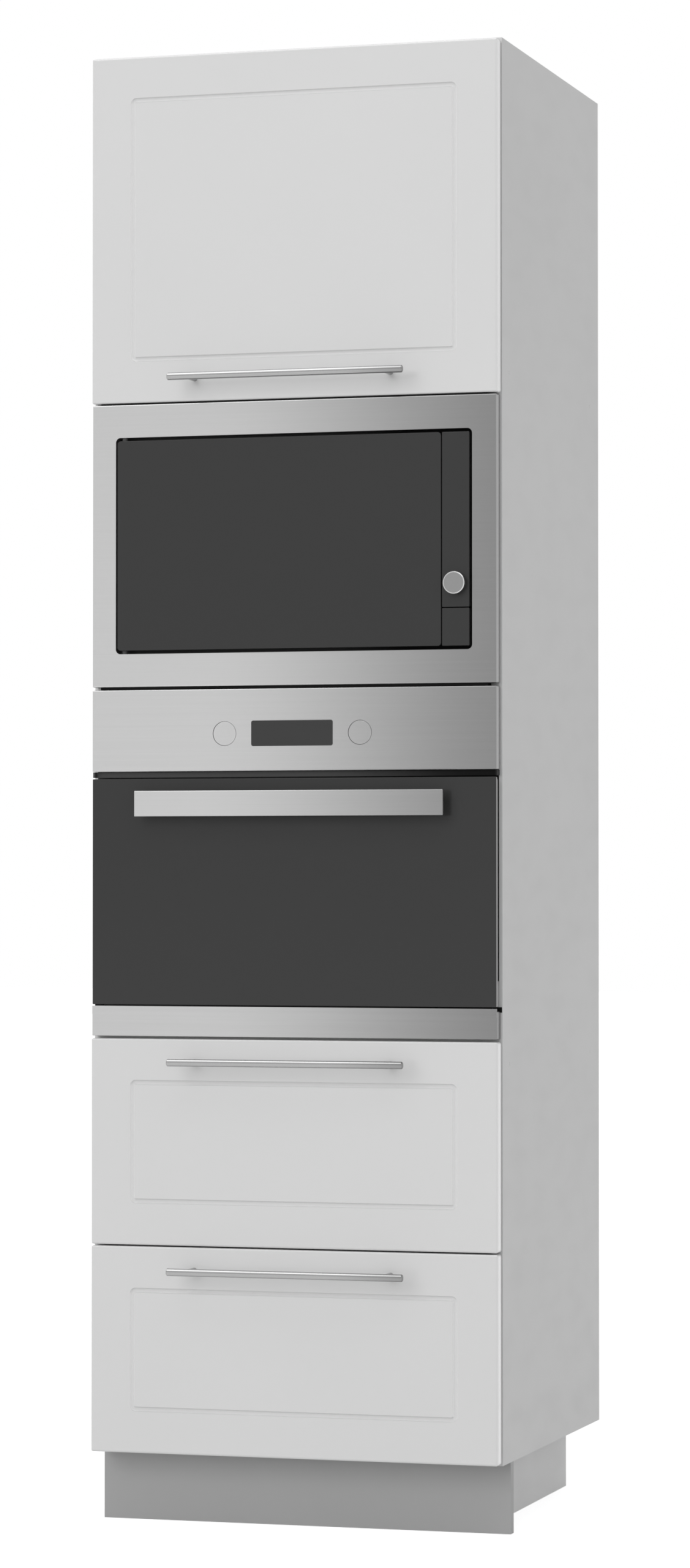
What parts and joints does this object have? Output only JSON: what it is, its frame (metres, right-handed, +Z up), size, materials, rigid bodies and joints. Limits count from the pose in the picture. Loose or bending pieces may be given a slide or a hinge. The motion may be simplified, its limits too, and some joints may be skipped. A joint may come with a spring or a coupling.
{
  "type": "tall oven housing unit",
  "caption": "Tall floor-standing kitchen cabinet with a lift-up cupboard door, a built-in microwave, a built-in oven with a drop-down door, and drawers on telescopic runners.",
  "frame": {"origin": "on the floor, under the middle of the whole unit's bounding box", "axes": "+Z up, +X to the right as seen from the front, the fronts face -Y"},
  "size_m": [0.6, 0.633, 2.084],
  "materials": {
    "front_paint": "satin painted",
    "board": "satin melamine",
    "hardboard": "matt",
    "steel": "brushed",
    "zinc": "zinc plated",
    "handle_metal": "satin",
    "black_glass": "gloss",
    "clear_glass": "gloss",
    "black_metal": "satin",
    "black_plastic": "satin",
    "enamel": "gloss enamel",
    "galvanised": "galvanised",
    "white_enamel": "gloss enamel",
    "seal_rubber": "matt",
    "white_plastic": "satin",
    "plinth_foil": "satin foil"
  },
  "bodies": {
    "cabinet": {"side_left": "board", "side_right": "board", "top_panel": "board", "bottom_panel": "board", "appliance_shelves": "board", "cupboard_floor": "board", "loose_shelf": "board", "shelf_pins": "zinc", "back_panels": "hardboard", "wall_rail": "board", "plinth_front": "plinth_foil", "plinth_sides": "plinth_foil", "legs": "black_plastic", "lift_units": "white_plastic", "runner_rails": "zinc", "oven_casing": "galvanised", "oven_frame": "black_metal", "oven_cavity": "enamel", "oven_panel": "steel", "oven_display": "black_glass", "oven_strip": "steel", "oven_seal": "seal_rubber", "oven_wire_shelf": "steel", "oven_tray": "enamel", "oven_ladders": "steel", "oven_grill": "steel", "microwave_casing": "galvanised", "microwave_plate": "black_metal", "microwave_cavity": "white_enamel", "microwave_frame": "steel", "microwave_control": "black_glass"},
    "lift_arms": {"lift_arms": "zinc"},
    "lift_guides": {"lift_guides": "zinc"},
    "flap": {"flap_front": "front_paint", "flap_handle": "handle_metal", "flap_brackets": "zinc"},
    "microwave_door": {"microwave_glass": "black_glass", "microwave_door_frame": "black_metal"},
    "microwave_knob": {"microwave_knob": "steel"},
    "microwave_button": {"microwave_button": "black_plastic"},
    "turntable": {"turntable": "clear_glass"},
    "roller_ring": {"roller_ring": "white_plastic"},
    "oven_door": {"oven_glass": "black_glass", "oven_door_frame": "black_metal", "oven_inner_glass": "clear_glass", "oven_handle": "steel"},
    "left_stem": {"knob_left_stem": "steel"},
    "left_cap": {"knob_left_cap": "steel"},
    "right_stem": {"knob_right_stem": "steel"},
    "right_cap": {"knob_right_cap": "steel"},
    "drawer_upper": {"drawer_upper_front": "front_paint", "drawer_upper_handle": "handle_metal", "drawer_upper_box": "board", "runner_upper_inner": "zinc"},
    "runner_upper": {"runner_upper_middle": "zinc"},
    "drawer_lower": {"drawer_lower_front": "front_paint", "drawer_lower_handle": "handle_metal", "drawer_lower_box": "board", "runner_lower_inner": "zinc"},
    "runner_lower": {"runner_lower_middle": "zinc"}
  },
  "joints": [
    {"name": "lift_swing", "type": "hinge", "parent": "cabinet", "child": "lift_arms", "pos_m": [0, -0.16941, 1.995], "axis": [-1, 0, 0], "range_deg": [0, 110]},
    {"name": "guide_swing", "type": "hinge", "parent": "cabinet", "child": "lift_guides", "pos_m": [0, -0.15041, 1.954], "axis": [-1, 0, 0], "range_deg": [0, 110]},
    {"name": "flap_level", "type": "hinge", "parent": "lift_arms", "child": "flap", "pos_m": [0, -0.2215, 1.69956], "axis": [1, 0, 0], "range_deg": [0, 110]},
    {"name": "microwave_door_hinge", "type": "hinge", "parent": "cabinet", "child": "microwave_door", "pos_m": [-0.2496, -0.2685, 1.38475], "axis": [0, 0, -1], "range_deg": [0, 95]},
    {"name": "microwave_knob_turn", "type": "hinge", "parent": "cabinet", "child": "microwave_knob", "pos_m": [0.239, -0.2815, 1.323], "axis": [0, 1, 0], "continuous": true},
    {"name": "microwave_button_push", "type": "slide", "parent": "cabinet", "child": "microwave_button", "axis": [0, 1, 0], "range_m": [0, 0.004], "stiffness_N_per_m": 300, "springref_m": -0.004},
    {"name": "turntable_turn", "type": "hinge", "parent": "cabinet", "child": "turntable", "pos_m": [-0.02, -0.0595, 1.277], "axis": [0, 0, 1], "continuous": true},
    {"name": "roller_ring_turn", "type": "hinge", "parent": "cabinet", "child": "roller_ring", "pos_m": [-0.02, -0.0595, 1.269], "axis": [0, 0, 1], "continuous": true},
    {"name": "oven_door_hinge", "type": "hinge", "parent": "cabinet", "child": "oven_door", "pos_m": [0, -0.2655, 0.742], "axis": [1, 0, 0], "range_deg": [0, 90]},
    {"name": "left_knob_pop", "type": "slide", "parent": "cabinet", "child": "left_stem", "axis": [0, -1, 0], "range_m": [0, 0.018]},
    {"name": "left_knob_turn", "type": "hinge", "parent": "left_stem", "child": "left_cap", "pos_m": [-0.0995, -0.2655, 1.117], "axis": [0, 1, 0], "continuous": true},
    {"name": "right_knob_pop", "type": "slide", "parent": "cabinet", "child": "right_stem", "axis": [0, -1, 0], "range_m": [0, 0.018]},
    {"name": "right_knob_turn", "type": "hinge", "parent": "right_stem", "child": "right_cap", "pos_m": [0.0995, -0.2655, 1.117], "axis": [0, 1, 0], "range_deg": [0, 240]},
    {"name": "drawer_upper_slide", "type": "slide", "parent": "cabinet", "child": "drawer_upper", "axis": [0, -1, 0], "range_m": [0, 0.45]},
    {"name": "runner_upper_slide", "type": "slide", "parent": "cabinet", "child": "runner_upper", "axis": [0, -1, 0], "range_m": [0, 0.225]},
    {"name": "drawer_lower_slide", "type": "slide", "parent": "cabinet", "child": "drawer_lower", "axis": [0, -1, 0], "range_m": [0, 0.45]},
    {"name": "runner_lower_slide", "type": "slide", "parent": "cabinet", "child": "runner_lower", "axis": [0, -1, 0], "range_m": [0, 0.225]}
  ],
  "couplings": [
    {"joint": "guide_swing", "follows": "lift_swing", "ratio": 1},
    {"joint": "flap_level", "follows": "lift_swing", "ratio": 1},
    {"joint": "roller_ring_turn", "follows": "turntable_turn", "ratio": 0.5},
    {"joint": "runner_upper_slide", "follows": "drawer_upper_slide", "ratio": 0.5},
    {"joint": "runner_lower_slide", "follows": "drawer_lower_slide", "ratio": 0.5}
  ]
}
